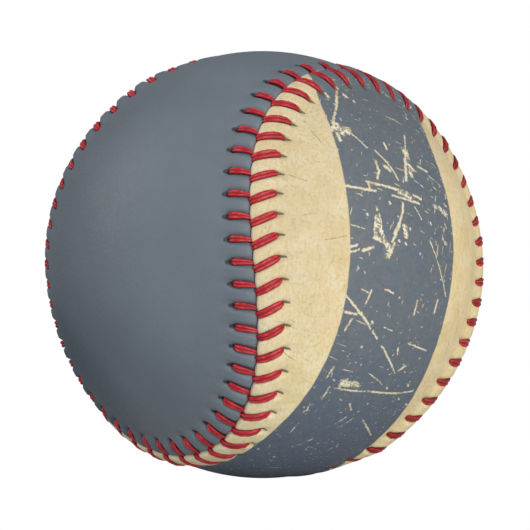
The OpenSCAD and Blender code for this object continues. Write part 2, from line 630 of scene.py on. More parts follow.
def wound_yarn(graph: Graph, point: Socket, strands: Socket) -> tuple[Socket, ...]:
    """Yarn wound over and over a ball in bands that cross each other.

    Args:
        graph: The group's graph.
        point: Place on the piece.
        strands: Turns of the wave across the strands, in radians per metre.

    Returns:
        The height.
    """
    patch = graph.cells(graph.wander(point, 20.0 * MM, 40.0), 55.0)
    way = graph.vector("SUBTRACT", patch["Color"], (0.5, 0.5, 0.5))
    along = graph.dot(point, graph.vector("NORMALIZE", way))
    round_top = graph.math("ABSOLUTE", graph.math("SINE", graph.times(along, strands)))
    fuzz = graph.noise(point, 2600.0, 3.0)
    return (graph.math("ADD", round_top, graph.times(fuzz, 0.5)),)


LEATHER_GRAIN = Effect(leather_grain, {"Point": "Vector", "Pebbles": "Float"},
                       ("Height", "Tone"))
SPECKLE = Effect(speckle, {"Point": "Vector", "Specks": "Float", "Amount": "Float"}, ("Mask",))
SCRATCH = Effect(scratch, {"Point": "Vector", "Start": "Vector", "Run": "Vector",
                           "Pull": "Vector", "Width": "Float", "Least": "Float"}, ("Least",))
DASHES = Effect(dashes, {"Point": "Vector", "Amount": "Float"}, ("Mask",))
HOLE_SHADE_MASK = Effect(hole_shade_mask, {"Map": "Vector", "From": "Float", "To": "Float",
                                   "Width": "Float", "Up": "Float", "Slope": "Float"}, ("Mask",))
WOUND_YARN = Effect(wound_yarn, {"Point": "Vector", "Strands": "Float"}, ("Height",))


class Finish:
    """A procedural material with one Principled shader."""

    name: str = "finish"

    def paint(self, graph: Graph, point: Socket) -> dict[str, object]:
        """Adds the finish's own nodes.

        Args:
            graph: The material's graph.
            point: The Object coordinates.

        Returns:
            Values for the shader's sockets, by name.
        """
        raise NotImplementedError

    def build(self) -> bpy.types.Material:
        """Builds the material.

        Returns:
            The material, with its shader fed from paint.
        """
        material = bpy.data.materials.new(self.name)
        material.use_nodes = True
        graph = Graph(material.node_tree)
        shader = graph.add("ShaderNodeBsdfPrincipled")
        result = graph.add("ShaderNodeOutputMaterial")
        graph.feed(result.inputs["Surface"], shader.outputs[0])
        point = graph.add("ShaderNodeTexCoord").outputs["Object"]
        for name, value in self.paint(graph, point).items():
            graph.feed(shader.inputs[name], value)
        return material


@dataclass(frozen=True)
class HoleMark:
    """The painted shade in the mouth beside each stitch: distances in millimetres, and a slope."""

    start: float
    end: float
    width: float
    up: float
    slope: float

    def sockets(self) -> dict[str, float]:
        """Values for the sockets of the stitch mark group."""
        return {"From": self.start, "To": self.end, "Width": self.width, "Up": self.up,
                "Slope": self.slope}


class Leather(Finish):
    """Cover leather: pebbled grain, a tint along the seam (a painted highlight on the striped
    panel) and painted shade in the mouth of each hole.
    """

    edge: Colour
    edge_step: tuple[float, ...]
    hole: Colour
    mark: HoleMark
    mark_depth: float
    matt: tuple[float, float]
    pebbles: float = 1500.0
    grain_ends: tuple[float, float] = (0.2, 1.2)
    grain_depth: float = 0.03 * MM
    grain_strength: float = 0.5
    specular: float = 0.35

    def colour(self, graph: Graph, point: Socket, tone: Socket) -> Socket:
        """The leather's colour away from the seam.

        Args:
            graph: The material's graph.
            point: Place on the ball.
            tone: A slow change of tone.

        Returns:
            A colour.
        """
        raise NotImplementedError

    def paint(self, graph: Graph, point: Socket) -> dict[str, object]:
        """Adds the finish's own nodes.

        Args:
            graph: The material's graph.
            point: The Object coordinates.

        Returns:
            Values for the shader's sockets, by name.
        """
        grain = LEATHER_GRAIN.place(graph, Point=point, Pebbles=self.pebbles)
        base = self.colour(graph, point, grain["Tone"])
        seam = graph.put("ShaderNodeUVMap", uv_map=SEAM_MAP)
        # The seam tint darkens the plain panel just along the seam; on the striped panel it is a
        # painted highlight along the edge.
        base = graph.tint(base, self.edge, graph.split(seam)[1], *self.edge_step)
        # Painted shade: the mouth of each hole is darkened towards the hole colour.
        mark = HOLE_SHADE_MASK.place(graph, Map=seam, **self.mark.sockets())["Mask"]
        pressed = graph.math("SUBTRACT", grain["Height"], graph.times(mark, self.mark_depth))
        return {
            "Base Color": graph.blend(mark, base, self.hole),
            "Roughness": graph.step(grain["Height"], *self.grain_ends, *self.matt),
            "Specular IOR Level": self.specular,
            "Normal": graph.bump(pressed, self.grain_depth, self.grain_strength),
        }


@dataclass(frozen=True)
class PlainLeather(Leather):
    """Smooth slate-blue leather, with painted shade darkening its lower left."""

    name: str = "plain_leather"
    slate: Colour = (0.150, 0.178, 0.206)
    slate_dark: Colour = (0.128, 0.155, 0.182)
    # Painted shade: colour that darkens the leather towards its lower left.
    smudge: Colour = (0.070, 0.098, 0.122)
    smudge_way: tuple[float, ...] = (-0.83, -0.2, -0.52)
    smudge_step: tuple[float, ...] = (0.95, 1.06, 0.0, 0.75)
    smudge_ragged: float = 0.12
    edge: Colour = (0.030, 0.042, 0.060)
    edge_step: tuple[float, ...] = (0.02, 0.2, 0.08, 0.0)
    # Painted shade in the mouth of each hole.
    hole: Colour = (0.006, 0.008, 0.012)
    mark: HoleMark = HoleMark(3.45, 4.45, 0.66, 0.03, 0.0)
    mark_depth: float = 6.0
    matt: tuple[float, float] = (0.62, 0.5)

    def colour(self, graph: Graph, point: Socket, tone: Socket) -> Socket:
        """The leather's colour away from the seam.

        Args:
            graph: The material's graph.
            point: Place on the ball.
            tone: A slow change of tone.

        Returns:
            A colour.
        """
        soft = graph.noise(point, 28.0, 3.0, 0.55)
        tone = graph.math("ADD", graph.times(tone, 0.5), graph.times(soft, 0.5))
        base = graph.tint(self.slate_dark, self.slate, tone, 0.35, 0.65)
        # Painted shade: a soft, ragged darkening towards the lower left.
        near = graph.dot(graph.vector("NORMALIZE", point), self.smudge_way)
        ragged = graph.math("MULTIPLY_ADD", soft, self.smudge_ragged, near)
        return graph.tint(base, self.smudge, ragged, *self.smudge_step)


@dataclass(frozen=True)
class Scratch:
    """One straight scratch on the ball, from one place to another in degrees."""

    from_azimuth: float
    from_elevation: float
    to_azimuth: float
    to_elevation: float
    width_mm: float
    sag_share: float = 0.6

    def sockets(self) -> dict[str, object]:
        """Works out the scratch's run, with the sag of the chord made up for.

        Returns:
            Values for the sockets of the scratch group.
        """
        start = around(self.from_azimuth, self.from_elevation, BALL_R)
        end = around(self.to_azimuth, self.to_elevation, BALL_R)
        lift = 1.0 + self.sag_share * (1.0 - math.cos(start.angle(end) / 2.0))
        start, run = start * lift, (end - start) * lift
        return {
            "Start": tuple(start),
            "Run": tuple(run),
            "Pull": tuple(run / run.length_squared),
            "Width": self.width_mm * MM / 2.0,
        }


# One row each: azimuth and elevation of one end, then of the other, and the width in millimetres
CREASES = [Scratch(*numbers) for numbers in (
    (18.1, 5.3, 24.3, 6.4, 0.23), (9.4, 22.3, 14.2, 20.7, 0.23), (3.3, 2.5, 3.5, 0.5, 0.27),
    (11.7, -10, 16.5, -11.5, 0.2), (8.3, -23.7, 11.5, -25.9, 0.23), (17.8, 35.6, 20.2, 32.1, 0.2),
    (19.3, -0.4, 22.8, 0.6, 0.18), (11.8, 11.4, 16.5, 12.2, 0.18),
    (12.8, -36.7, 16.2, -34.2, 0.23), (72.7, 12.8, 67.4, 0.2, 0.18),
    (74.3, 7.5, 73.2, -7.6, 0.18), (67.4, -9.8, 71.4, -17.8, 0.18),
    (68.2, -20.6, 71, -26.9, 0.18),
)]

SCRATCHES = [Scratch(*numbers) for numbers in (
    (36.1, 52.5, 31.1, 46.3, 0.5), (31.6, 46.4, 25.8, 38.2, 0.45), (25.2, 36.4, 30.7, 36.1, 1.13),
    (26.1, 34.8, 26.7, 32.8, 0.56), (30.8, 35.3, 35.2, 30.7, 0.29),
    (37.7, 29.9, 41.2, 25.6, 0.34), (41.5, 25.1, 43.1, 21.6, 0.36),
    (42.5, 32.3, 42.6, 30.6, 0.43), (54.1, 35, 48.4, 27.3, 0.38), (48.5, 27.4, 46, 21.6, 0.59),
    (49.4, 30.8, 50, 28.7, 0.81), (49, 26.1, 50.5, 24.4, 0.81), (53.1, 25.7, 57, 24.3, 0.43),
    (36.7, 26.7, 36.7, 24.3, 0.45), (37, 24.1, 35.7, 21.8, 0.45), (39.4, 25.3, 40.9, 24.1, 0.59),
    (67, 43.4, 63.9, 41.3, 0.34), (80.7, 44.7, 78.4, 43.7, 0.36), (24.8, 19.5, 34.2, 18.2, 0.45),
    (31.9, 20.8, 41.5, 18.8, 0.47), (32.2, 20.6, 32.4, 19, 0.36), (42.1, 18.4, 45.1, 17.3, 0.99),
    (39.5, 17.2, 49, 15.2, 0.43), (47.3, 17.5, 50.3, 16.4, 0.43), (55.5, 14.9, 61, 13, 0.68),
    (42.7, 15.1, 42.2, 13.2, 0.45), (42.2, 12.9, 40.2, 9.4, 0.43), (40.4, 9.2, 37.7, 5.2, 0.54),
    (33.4, 11, 34.2, 7.7, 0.99), (32.3, 6.1, 35, 5.2, 0.81), (35, 5.4, 36.8, 3.3, 1.08),
    (38.3, 4.7, 36.4, 1.2, 0.54), (42.1, 9.2, 42.3, 6.6, 0.9), (34.3, 12.2, 34.6, 9.9, 0.29),
    (46.9, 14.3, 48.9, 11.1, 0.23), (25.3, 9.4, 29.3, 8.3, 0.23), (24.7, 3.6, 27, 4.1, 0.45),
    (24.6, 2.1, 27.5, 3, 0.45), (28.6, 2.7, 31.8, 3.6, 0.5), (51.3, 5.4, 53.6, 1.6, 0.29),
    (54.1, 0.3, 59.2, -8.6, 0.29), (57.2, 6.5, 58.1, 4.8, 0.27), (35.5, -7.1, 38.3, -8, 0.34),
    (31.3, -7.3, 30, -10.7, 0.34), (28.2, -7, 30.6, -7.9, 0.27), (23.8, -8.2, 30.6, -15.1, 0.41),
    (22.9, -12.6, 27.6, -13.5, 0.41), (46.9, -10, 46.5, -13.6, 0.36),
    (55.5, -9.6, 54.9, -13, 0.43), (28.8, -12.9, 32.4, -17.3, 0.41),
    (33.2, -17.8, 35, -19.9, 0.36), (37.5, -22, 45.6, -29.7, 0.36),
    (26.3, -14.7, 24.8, -17.7, 0.38), (36.8, -16.9, 39.8, -17.8, 0.23),
    (43.3, -22.6, 43.9, -24.4, 0.38), (46.7, -29, 49, -27.6, 0.41),
    (46.7, -21.2, 56, -23.3, 0.29), (23.3, -27.7, 21.8, -31, 0.41),
    (27.4, -32.2, 33, -33.4, 1.04), (33.1, -28.5, 42.1, -32.8, 0.18),
    (25, -34.1, 36.7, -35.4, 0.36), (36.5, -35.1, 54.8, -36, 0.38),
    (54.8, -35.8, 59.8, -35.4, 0.34), (23.5, -33.7, 21.8, -37.8, 0.41),
    (18.3, -39.2, 17.4, -42, 0.36), (15.9, -46, 13.4, -50.2, 0.34),
    (34.5, -43.6, 30.9, -46.7, 0.34), (37.6, -44.2, 34, -47.6, 0.27),
    (41.5, -44.5, 57.2, -52.2, 0.32), (24.5, -52.6, 18.6, -55.6, 0.29),
    (38.6, -56.9, 37, -58.4, 0.27), (32.9, -39.4, 34.6, -41.5, 0.41),
    (32.9, 9.8, 32.5, 6.1, 0.81), (34.4, 7.2, 35.5, 4.5, 0.77), (36.9, 3.9, 35.6, 1.3, 0.68),
    (38.5, 7.2, 40.7, 10.1, 0.59), (43.5, 17.7, 46.1, 16.8, 0.9), (58.1, 14.2, 60.4, 12.8, 0.81),
    (26.4, 37.7, 28.3, 34.9, 1.04), (28.7, 36.4, 30.5, 35.1, 0.72), (51, 30.2, 50.2, 28.1, 0.81),
    (49, 25.7, 48.8, 22.8, 0.68), (27.3, -32.9, 30.4, -33.2, 1.13),
    (36.6, 61.3, 39.6, 59.4, 0.54), (44.4, 60.5, 46, 57.9, 0.68), (59.8, 60.6, 61.1, 58.6, 0.54),
    (36.7, 49.6, 37.3, 48.4, 0.59), (28, 49.5, 28.7, 47.9, 0.54), (58.9, 54.7, 57.9, 53.1, 0.41),
    (33.7, 13.5, 33.8, 13.2, 0.38), (30.6, 12.2, 30.7, 11.9, 0.38), (38.1, 15.4, 38.2, 15, 0.38),
    (44, 8.6, 44.1, 8.3, 0.38), (39.8, 5.4, 40, 5.1, 0.38), (42, 4.8, 42.2, 4.5, 0.38),
    (27.2, -1.4, 27.4, -1.7, 0.38), (29.1, -2.6, 29.2, -2.9, 0.38), (52.3, 10.2, 52.5, 9.8, 0.38),
    (59.5, 9.4, 59.6, 9.1, 0.38), (37.3, -22, 37.6, -22.3, 0.38),
    (32.5, -15.3, 32.7, -15.7, 0.38), (44.9, -34.2, 45.4, -34.6, 0.38),
    (54.6, -33.5, 55.3, -33.9, 0.38), (53.8, -37.8, 54.6, -38.2, 0.38),
    (61, -39.8, 62.1, -40.2, 0.38), (28.5, -37.7, 28.9, -38.1, 0.38),
    (24.1, -31.5, 24.4, -31.9, 0.38), (39.5, 47, 39.4, 46.5, 0.38),
)]


@dataclass(frozen=True)
class StripedLeather(Leather):
    """Cream leather printed with one broad slate stripe, scuffed and speckled, with painted light
    and shade across the ball.
    """

    name: str = "striped_leather"
    cream: Colour = (0.760, 0.620, 0.365)
    cream_dark: Colour = (0.605, 0.465, 0.230)
    cream_pale: Colour = (0.780, 0.670, 0.448)
    cream_warm: Colour = (0.680, 0.500, 0.270)
    cream_worn: Colour = (0.740, 0.665, 0.470)
    slate: Colour = (0.114, 0.139, 0.166)
    slate_grey: Colour = (0.134, 0.149, 0.158)
    slate_dark: Colour = (0.090, 0.112, 0.138)
    tan: Colour = (0.560, 0.380, 0.165)
    speck: Colour = (0.22, 0.16, 0.09)
    # Painted highlight: the cream brightens along the seam edge.
    edge: Colour = (0.80, 0.70, 0.50)
    edge_step: tuple[float, ...] = (0.1, 0.7, 0.65, 0.0)
    # Painted shade in the mouth of each hole.
    hole: Colour = (0.100, 0.090, 0.048)
    mark: HoleMark = HoleMark(3.7, 5.2, 0.36, 0.33, -0.16)
    mark_depth: float = 5.0
    matt: tuple[float, float] = (0.65, 0.52)
    near_edge: tuple[float, ...] = (1.0, 0.65, -0.0649, 0.1732, 0.1182, -0.1389)
    far_edge: tuple[float, ...] = (1.0, 0.3, -0.0807, -0.7401, 0.4057, 0.238, -0.337, -0.6129)
    edge_soft: float = 0.004
    edge_ragged: float = 0.012
    # Painted shade: the slate turns darker and bluer towards the bottom of the ball.
    unfaded: Colour = (0.80, 0.89, 1.02)
    # Painted light and shade: the cream is lit towards this way and shaded away from it.
    painted_light_way: tuple[float, ...] = (0.85, 0.0, -0.5)
    shaded_cream_tone: Colour = (0.83, 0.83, 0.83)
    lit_cream_tone: Colour = (1.0, 0.97, 0.88)
    # Painted light: the cream turns paler towards the lower left.
    clean: Colour = (1.14, 1.20, 1.26)
    painted_fill_way: tuple[float, ...] = (-0.6, 0.0, -0.8)
    dots: tuple[tuple[float, float, float], ...] = ((2100.0, 0.12, 0.25), (1000.0, 0.04, 0.3))
    fibre_amount: float = 0.66
    fibre_strength: float = 0.2
    crease_ragged: float = 2.2
    crease_strength: float = 0.55
    bold_mm: float = 0.6
    bold_ragged: float = 3.8
    fine_ragged: float = 3.4
    fine_strength: float = 0.88
    spot_strength: float = 0.6
    dots_by_height: tuple[float, ...] = (-26.0 * MM, -13.0 * MM, 0.022, 0.055)
    rim_by_height: tuple[float, ...] = (-12.0 * MM, 6.0 * MM, 0.0, -0.04)
    rim_ends: tuple[float, float] = (-0.3, -0.03)
    dash_amount: float = 0.69
    wobble: float = 0.25 * MM
    far_off: float = 9.0
    mark_ends: tuple[float, float] = (0.6, 1.45)

    def stripe_line(self, graph: Graph, out: Socket, terms: tuple[float, ...]) -> Socket:
        """Signed distance from one edge of the stripe, as a share of the ball's radius.

        Args:
            graph: The material's graph.
            out: Unit vector from the ball's centre.
            terms: Factors of x, y, z, one, z squared and the higher powers of z.

        Returns:
            The distance, positive past the edge.
        """
        z = graph.split(out)[2]
        level = graph.math("ADD", graph.dot(out, terms[:3]), terms[3])
        power = z
        for factor in terms[4:]:
            power = graph.times(power, z)
            level = graph.math("MULTIPLY_ADD", power, factor, level)
        return level

    def colour(self, graph: Graph, point: Socket, tone: Socket) -> Socket:
        """The leather's colour away from the seam.

        Args:
            graph: The material's graph.
            point: Place on the ball.
            tone: A slow change of tone, which this leather doesn't show.

        Returns:
            A colour.
        """
        out = graph.vector("NORMALIZE", point)
        ragged = graph.math("SUBTRACT", graph.noise(point, 420.0, 5.0, 0.65), 0.5)
        near, far = (
            graph.math("MULTIPLY_ADD", ragged, self.edge_ragged,
                       self.stripe_line(graph, out, terms))
            for terms in (self.near_edge, self.far_edge)
        )
        soft = self.edge_soft
        stripe = graph.times(graph.step(near, -soft, soft), graph.step(far, -soft, soft, 1.0, 0.0))
        slate = graph.tint(self.slate, self.slate_grey, graph.noise(point, 420.0, 3.0, 0.6),
                           0.35, 0.65)
        slate = graph.tint(slate, self.slate_dark, graph.noise(point, 1300.0, 3.0, 0.7),
                           0.42, 0.7, 0.0, 0.6)
        # Painted shade: darker, bluer slate towards the bottom.
        low = graph.step(graph.split(out)[2], -0.2, -0.85)
        slate = graph.blend(low, slate, graph.toned(slate, self.unfaded))
        bare = graph.tint(self.cream_worn, self.tan, graph.noise(point, 800.0, 3.0, 0.6),
                          0.5, 0.66, 0.0, 0.8)
        printed = graph.blend(self.wear(graph, point, far), slate, bare)
        return graph.blend(stripe, self.aged_cream(graph, point, out), printed)

    def aged_cream(self, graph: Graph, point: Socket, out: Socket) -> Socket:
        """Mottled cream with specks, fibres and fine creases, with painted light and shade across
        the ball.

        Args:
            graph: The material's graph.
            point: Place on the ball.
            out: Unit vector from the ball's centre.

        Returns:
            A colour.
        """
        drawn_out = graph.vector("MULTIPLY", point, (2600.0, 2600.0, 420.0))
        cream = self.cream_pale
        for colour, value, step in (
            (self.cream, graph.noise(point, 300.0, 5.0, 0.68), (0.36, 0.62)),
            (self.cream_dark, graph.noise(point, 1700.0, 4.0, 0.75), (0.46, 0.68, 0.0, 0.62)),
            (self.cream_dark, graph.noise(drawn_out, 1.0), (0.5, 0.72, 0.0, 0.5)),
            (self.cream_dark, graph.noise(point, 75.0, 4.0, 0.6), (0.5, 0.72, 0.0, 0.38)),
            (self.cream_warm, graph.noise(point, 620.0, 4.0, 0.72), (0.54, 0.7, 0.0, 0.4)),
        ):
            cream = graph.tint(cream, colour, value, *step)
        for specks, amount, strength in self.dots:
            dots = SPECKLE.place(graph, Point=point, Specks=specks, Amount=amount)
            cream = graph.dab(cream, self.speck, dots["Mask"], strength)
        fibres = DASHES.place(graph, Point=point, Amount=self.fibre_amount)
        cream = graph.dab(cream, self.speck, fibres["Mask"], self.fibre_strength)
        creases = self.marks(graph, point, CREASES, self.crease_ragged)
        cream = graph.dab(cream, self.speck, creases, self.crease_strength)
        # Painted light and shade: the cream is lighter and warmer towards the lower right, darker
        # elsewhere.
        painted_light_tone = graph.tint(self.shaded_cream_tone, self.lit_cream_tone, graph.dot(out, self.painted_light_way),
                            0.1, 0.8)
        cream = graph.toned(cream, painted_light_tone)
        # Painted light: paler cream towards the lower left.
        return graph.tint(cream, graph.toned(cream, self.clean), graph.dot(out, self.painted_fill_way),
                          -0.05, 0.45)

    def wear(self, graph: Graph, point: Socket, far: Socket) -> Socket:
        """Scratches, scuffs and rubbed spots where the cream shows through the print.

        Args:
            graph: The material's graph.
            point: Place on the ball.
            far: Distance past the stripe's far edge, where it is rubbed most.

        Returns:
            A mask, 1 where the print is gone.
        """
        hatch = DASHES.place(graph, Point=graph.scaled(point, 1.5), Amount=0.515)
        rubbed = graph.math("MULTIPLY_ADD", hatch["Mask"], 0.78, 0.22)
        wide = [mark for mark in SCRATCHES if mark.width_mm > self.bold_mm]
        narrow = [mark for mark in SCRATCHES if mark.width_mm <= self.bold_mm]
        fine = graph.times(self.marks(graph, point, narrow, self.fine_ragged), self.fine_strength)
        bold = graph.times(self.marks(graph, point, wide, self.bold_ragged), rubbed)
        high = graph.split(point)[2]
        dots = SPECKLE.place(graph, Point=point, Specks=1150.0,
                             Amount=graph.step(high, *self.dots_by_height))
        rim = graph.times(graph.step(far, *self.rim_ends),
                          graph.step(high, *self.rim_by_height))
        dashed = DASHES.place(graph, Point=point,
                              Amount=graph.math("ADD", rim, self.dash_amount))
        spots = graph.math("MAXIMUM", dots["Mask"], dashed["Mask"])
        return graph.math("MAXIMUM", graph.math("MAXIMUM", fine, bold),
                          graph.times(spots, self.spot_strength))

    def marks(self, graph: Graph, point: Socket, scratches: list[Scratch],
              raggedness: float) -> Socket:
        """Scratches with ragged, broken edges.

        Args:
            graph: The material's graph.
            point: Place on the ball.
            scratches: The scratches.
            raggedness: How far noise eats into them, in half widths.

        Returns:
            A mask.
        """
        bent = graph.wander(point, self.wobble, 1100.0, 3.0, 0.6)
        least: object = self.far_off
        for mark in scratches:
            least = SCRATCH.place(graph, Point=bent, Least=least, **mark.sockets())["Least"]
        ragged = graph.math("SUBTRACT", graph.noise(point, 1900.0, 4.0, 0.75), 0.47)
        off = graph.math("MULTIPLY_ADD", ragged, raggedness, least)
        return graph.step(off, *self.mark_ends, 1.0, 0.0)


@dataclass(frozen=True)
class WaxedThread(Finish):
    """Waxed red thread of two plies, with painted light and shade."""

    name: str = "waxed_thread"
    red: Colour = (0.405, 0.011, 0.020)
    red_highlight: Colour = (0.58, 0.082, 0.085)
    red_deep_and_shade: Colour = (0.18, 0.005, 0.010)
    # Painted light on the left of the ball and painted shade on its right.
    left_painted_light: Colour = (1.30, 1.15, 1.40)
    right_painted_shade: Colour = (0.74, 0.80, 0.62)
    ply_waves: float = 3.0 * math.pi
    ply_wander: float = 0.12
    twist_along: float = 60.0
    twist_round: float = 25.0

    def paint(self, graph: Graph, point: Socket) -> dict[str, object]:
        """Adds the finish's own nodes.

        Args:
            graph: The material's graph.
            point: The Object coordinates.

        Returns:
            Values for the shader's sockets, by name.
        """
        strand = graph.put("ShaderNodeUVMap", uv_map=SEAM_MAP)
        run, round_share, _ = graph.split(strand)
        wander = graph.math("SUBTRACT", graph.noise(point, 700.0), 0.5)
        turn = graph.math("MULTIPLY_ADD", wander, self.ply_wander, round_share)
        ply = graph.math("ABSOLUTE", graph.math("SINE", graph.times(turn, self.ply_waves)))
        twist = graph.math("ADD", graph.times(run, self.twist_along),
                           graph.times(round_share, self.twist_round))
        fibre = graph.math("ABSOLUTE", graph.math("SINE", twist))
        fuzz = graph.noise(point, 3000.0, 3.0, 0.6)
        # Painted shade: deep red in the groove between the plies.
        base = graph.tint(self.red_deep_and_shade, self.red, ply, 0.12, 0.6)
        # Painted highlight: a lighter red along the crest of each ply, in patches.
        glint_share = graph.step(graph.noise(point, 900.0, 3.0, 0.6), 0.42, 0.62, 0.0, 0.9)
        base = graph.dab(base, self.red_highlight, graph.step(ply, 0.8, 1.0), glint_share)
        base = graph.tint(base, self.red_deep_and_shade, graph.noise(point, 500.0), 0.52, 0.75, 0.0, 0.45)
        # Painted light and shade: the thread is lighter on the left of the ball, darker on the
        # right.
        sideways = graph.split(graph.vector("NORMALIZE", point))[0]
        tone = graph.tint(self.left_painted_light, self.right_painted_shade, sideways, -1.0, 1.0)
        height = graph.math("ADD", fibre, graph.times(fuzz, 0.6))
        return {
            "Base Color": graph.toned(base, tone),
            "Roughness": graph.step(fuzz, 0.3, 0.7, 0.34, 0.5),
            "Specular IOR Level": 0.35,
            "Normal": graph.bump(height, 0.02 * MM, 0.6),
        }


@dataclass(frozen=True)
class GroundCork(Finish):
    """Ground cork bound with rubber."""

    name: str = "cork"
    light: Colour = (0.55, 0.36, 0.20)
    dark: Colour = (0.16, 0.09, 0.05)
    binder: Colour = (0.05, 0.035, 0.03)

    def paint(self, graph: Graph, point: Socket) -> dict[str, object]:
        """Adds the finish's own nodes.

        Args:
            graph: The material's graph.
            point: The Object coordinates.

        Returns:
            Values for the shader's sockets, by name.
        """
        crumb = graph.cells(point, 900.0)
        base = graph.blend(graph.split(crumb["Color"])[0], self.light, self.dark)
        base = graph.tint(base, self.binder, crumb["Distance"], 0.55, 0.75)
        dots = SPECKLE.place(graph, Point=point, Specks=2100.0, Amount=0.3)
        height = graph.math("SUBTRACT", 1.0, crumb["Distance"])
        return {
            "Base Color": graph.dab(base, self.dark, dots["Mask"], 0.6),
            "Roughness": 0.85,
            "Specular IOR Level": 0.3,
            "Normal": graph.bump(height, 0.12 * MM, 0.8),
        }


@dataclass(frozen=True)
class MouldedRubber(Finish):
    """Dull moulded rubber with a fine bloom."""

    name: str = "black_rubber"
    rubber: Colour = (0.030, 0.030, 0.031)
    bloom: Colour = (0.070, 0.070, 0.072)

    def paint(self, graph: Graph, point: Socket) -> dict[str, object]:
        """Adds the finish's own nodes.

        Args:
            graph: The material's graph.
            point: The Object coordinates.

        Returns:
            Values for the shader's sockets, by name.
        """
        haze = graph.noise(point, 160.0, 5.0, 0.65)
        base = graph.tint(self.rubber, self.bloom, haze, 0.4, 0.7)
        dots = SPECKLE.place(graph, Point=point, Specks=1500.0, Amount=0.1)
        return {
            "Base Color": graph.dab(base, self.bloom, dots["Mask"], 0.5),
            "Roughness": graph.step(haze, 0.3, 0.7, 0.5, 0.72),
            "Specular IOR Level": 0.4,
            "Normal": graph.bump(graph.noise(point, 3500.0), 0.03 * MM, 0.5),
        }


@dataclass(frozen=True)
class WoundYarn(Finish):
    """Yarn wound tightly over the core, painted darker in the grooves between its strands."""

    name: str = "grey_wool"
    light: Colour = (0.38, 0.38, 0.39)
    dark: Colour = (0.13, 0.13, 0.14)
    strands: float = 3500.0
    depth: float = 0.3 * MM

    def paint(self, graph: Graph, point: Socket) -> dict[str, object]:
        """Adds the finish's own nodes.

        Args:
            graph: The material's graph.
            point: The Object coordinates.

        Returns:
            Values for the shader's sockets, by name.
        """
        yarn = WOUND_YARN.place(graph, Point=point, Strands=self.strands)
        # Painted shade: the yarn is darker in the grooves between its strands.
        base = graph.tint(self.dark, self.light, yarn["Height"], 0.1, 1.0)
        fleck = SPECKLE.place(graph, Point=point, Specks=1900.0, Amount=0.12)
        return {
            "Base Color": graph.dab(base, self.dark, fleck["Mask"], 0.4),
            "Roughness": 0.95,
            "Specular IOR Level": 0.2,
            "Sheen Weight": 0.25,
            "Normal": graph.bump(yarn["Height"], self.depth, 0.9),
        }


@dataclass(frozen=True)
class DriedCement(Finish):
    """Thin film of dried rubber cement over the cotton."""

    name: str = "dried_cement"
    film: Colour = (0.74, 0.64, 0.42)
    thick: Colour = (0.52, 0.40, 0.20)

    def paint(self, graph: Graph, point: Socket) -> dict[str, object]:
        """Adds the finish's own nodes.

        Args:
            graph: The material's graph.
            point: The Object coordinates.

        Returns:
            Values for the shader's sockets, by name.
        """
        yarn = WOUND_YARN.place(graph, Point=point, Strands=9000.0)
        pool = graph.noise(point, 120.0, 4.0, 0.6)
        height = graph.math("ADD", graph.times(yarn["Height"], 0.5), pool)
        return {
            "Base Color": graph.tint(self.film, self.thick, pool, 0.4, 0.7),
            "Roughness": graph.step(pool, 0.35, 0.65, 0.5, 0.28),
            "Specular IOR Level": 0.5,
            "Normal": graph.bump(height, 0.08 * MM, 0.7),
        }


@dataclass
class SeamPiece:
    """A piece that lies along the seam, on one side of it."""

    side: Side
    seam: SeamCurve
    finish: Finish
    node: str
    slot: str

    @property
    def line(self) -> StitchLine:
        """The line of stitches on this side."""
        return STITCH_LINES[self.side]

    def new_map(self, mesh: bpy.types.Mesh) -> bpy.types.MeshUVLoopLayer:
        """Gives a mesh an empty seam map in place of the maps it has.

        Args:
            mesh: The mesh.

        Returns:
            The map.
        """
        while mesh.uv_layers:
            mesh.uv_layers.remove(mesh.uv_layers[0])
        return mesh.uv_layers.new(name=SEAM_MAP)

    def dress(self, piece: bpy.types.Object) -> None:
        """Gives the piece its finish and nothing else."""
        piece.data.materials.clear()
        piece.data.materials.append(self.finish.build())

    def declare(self, piece: bpy.types.Object, kind: str) -> None:
        """Names the piece and says what it stands for and rides on.

        Args:
            piece: The finished piece.
            kind: First word of its name.
        """
        piece.name = f"{kind}_{self.node}"
        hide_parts(self.node)
        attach(piece, BODY)
        LOG.info("%s: %d faces", piece.name, len(piece.data.polygons))


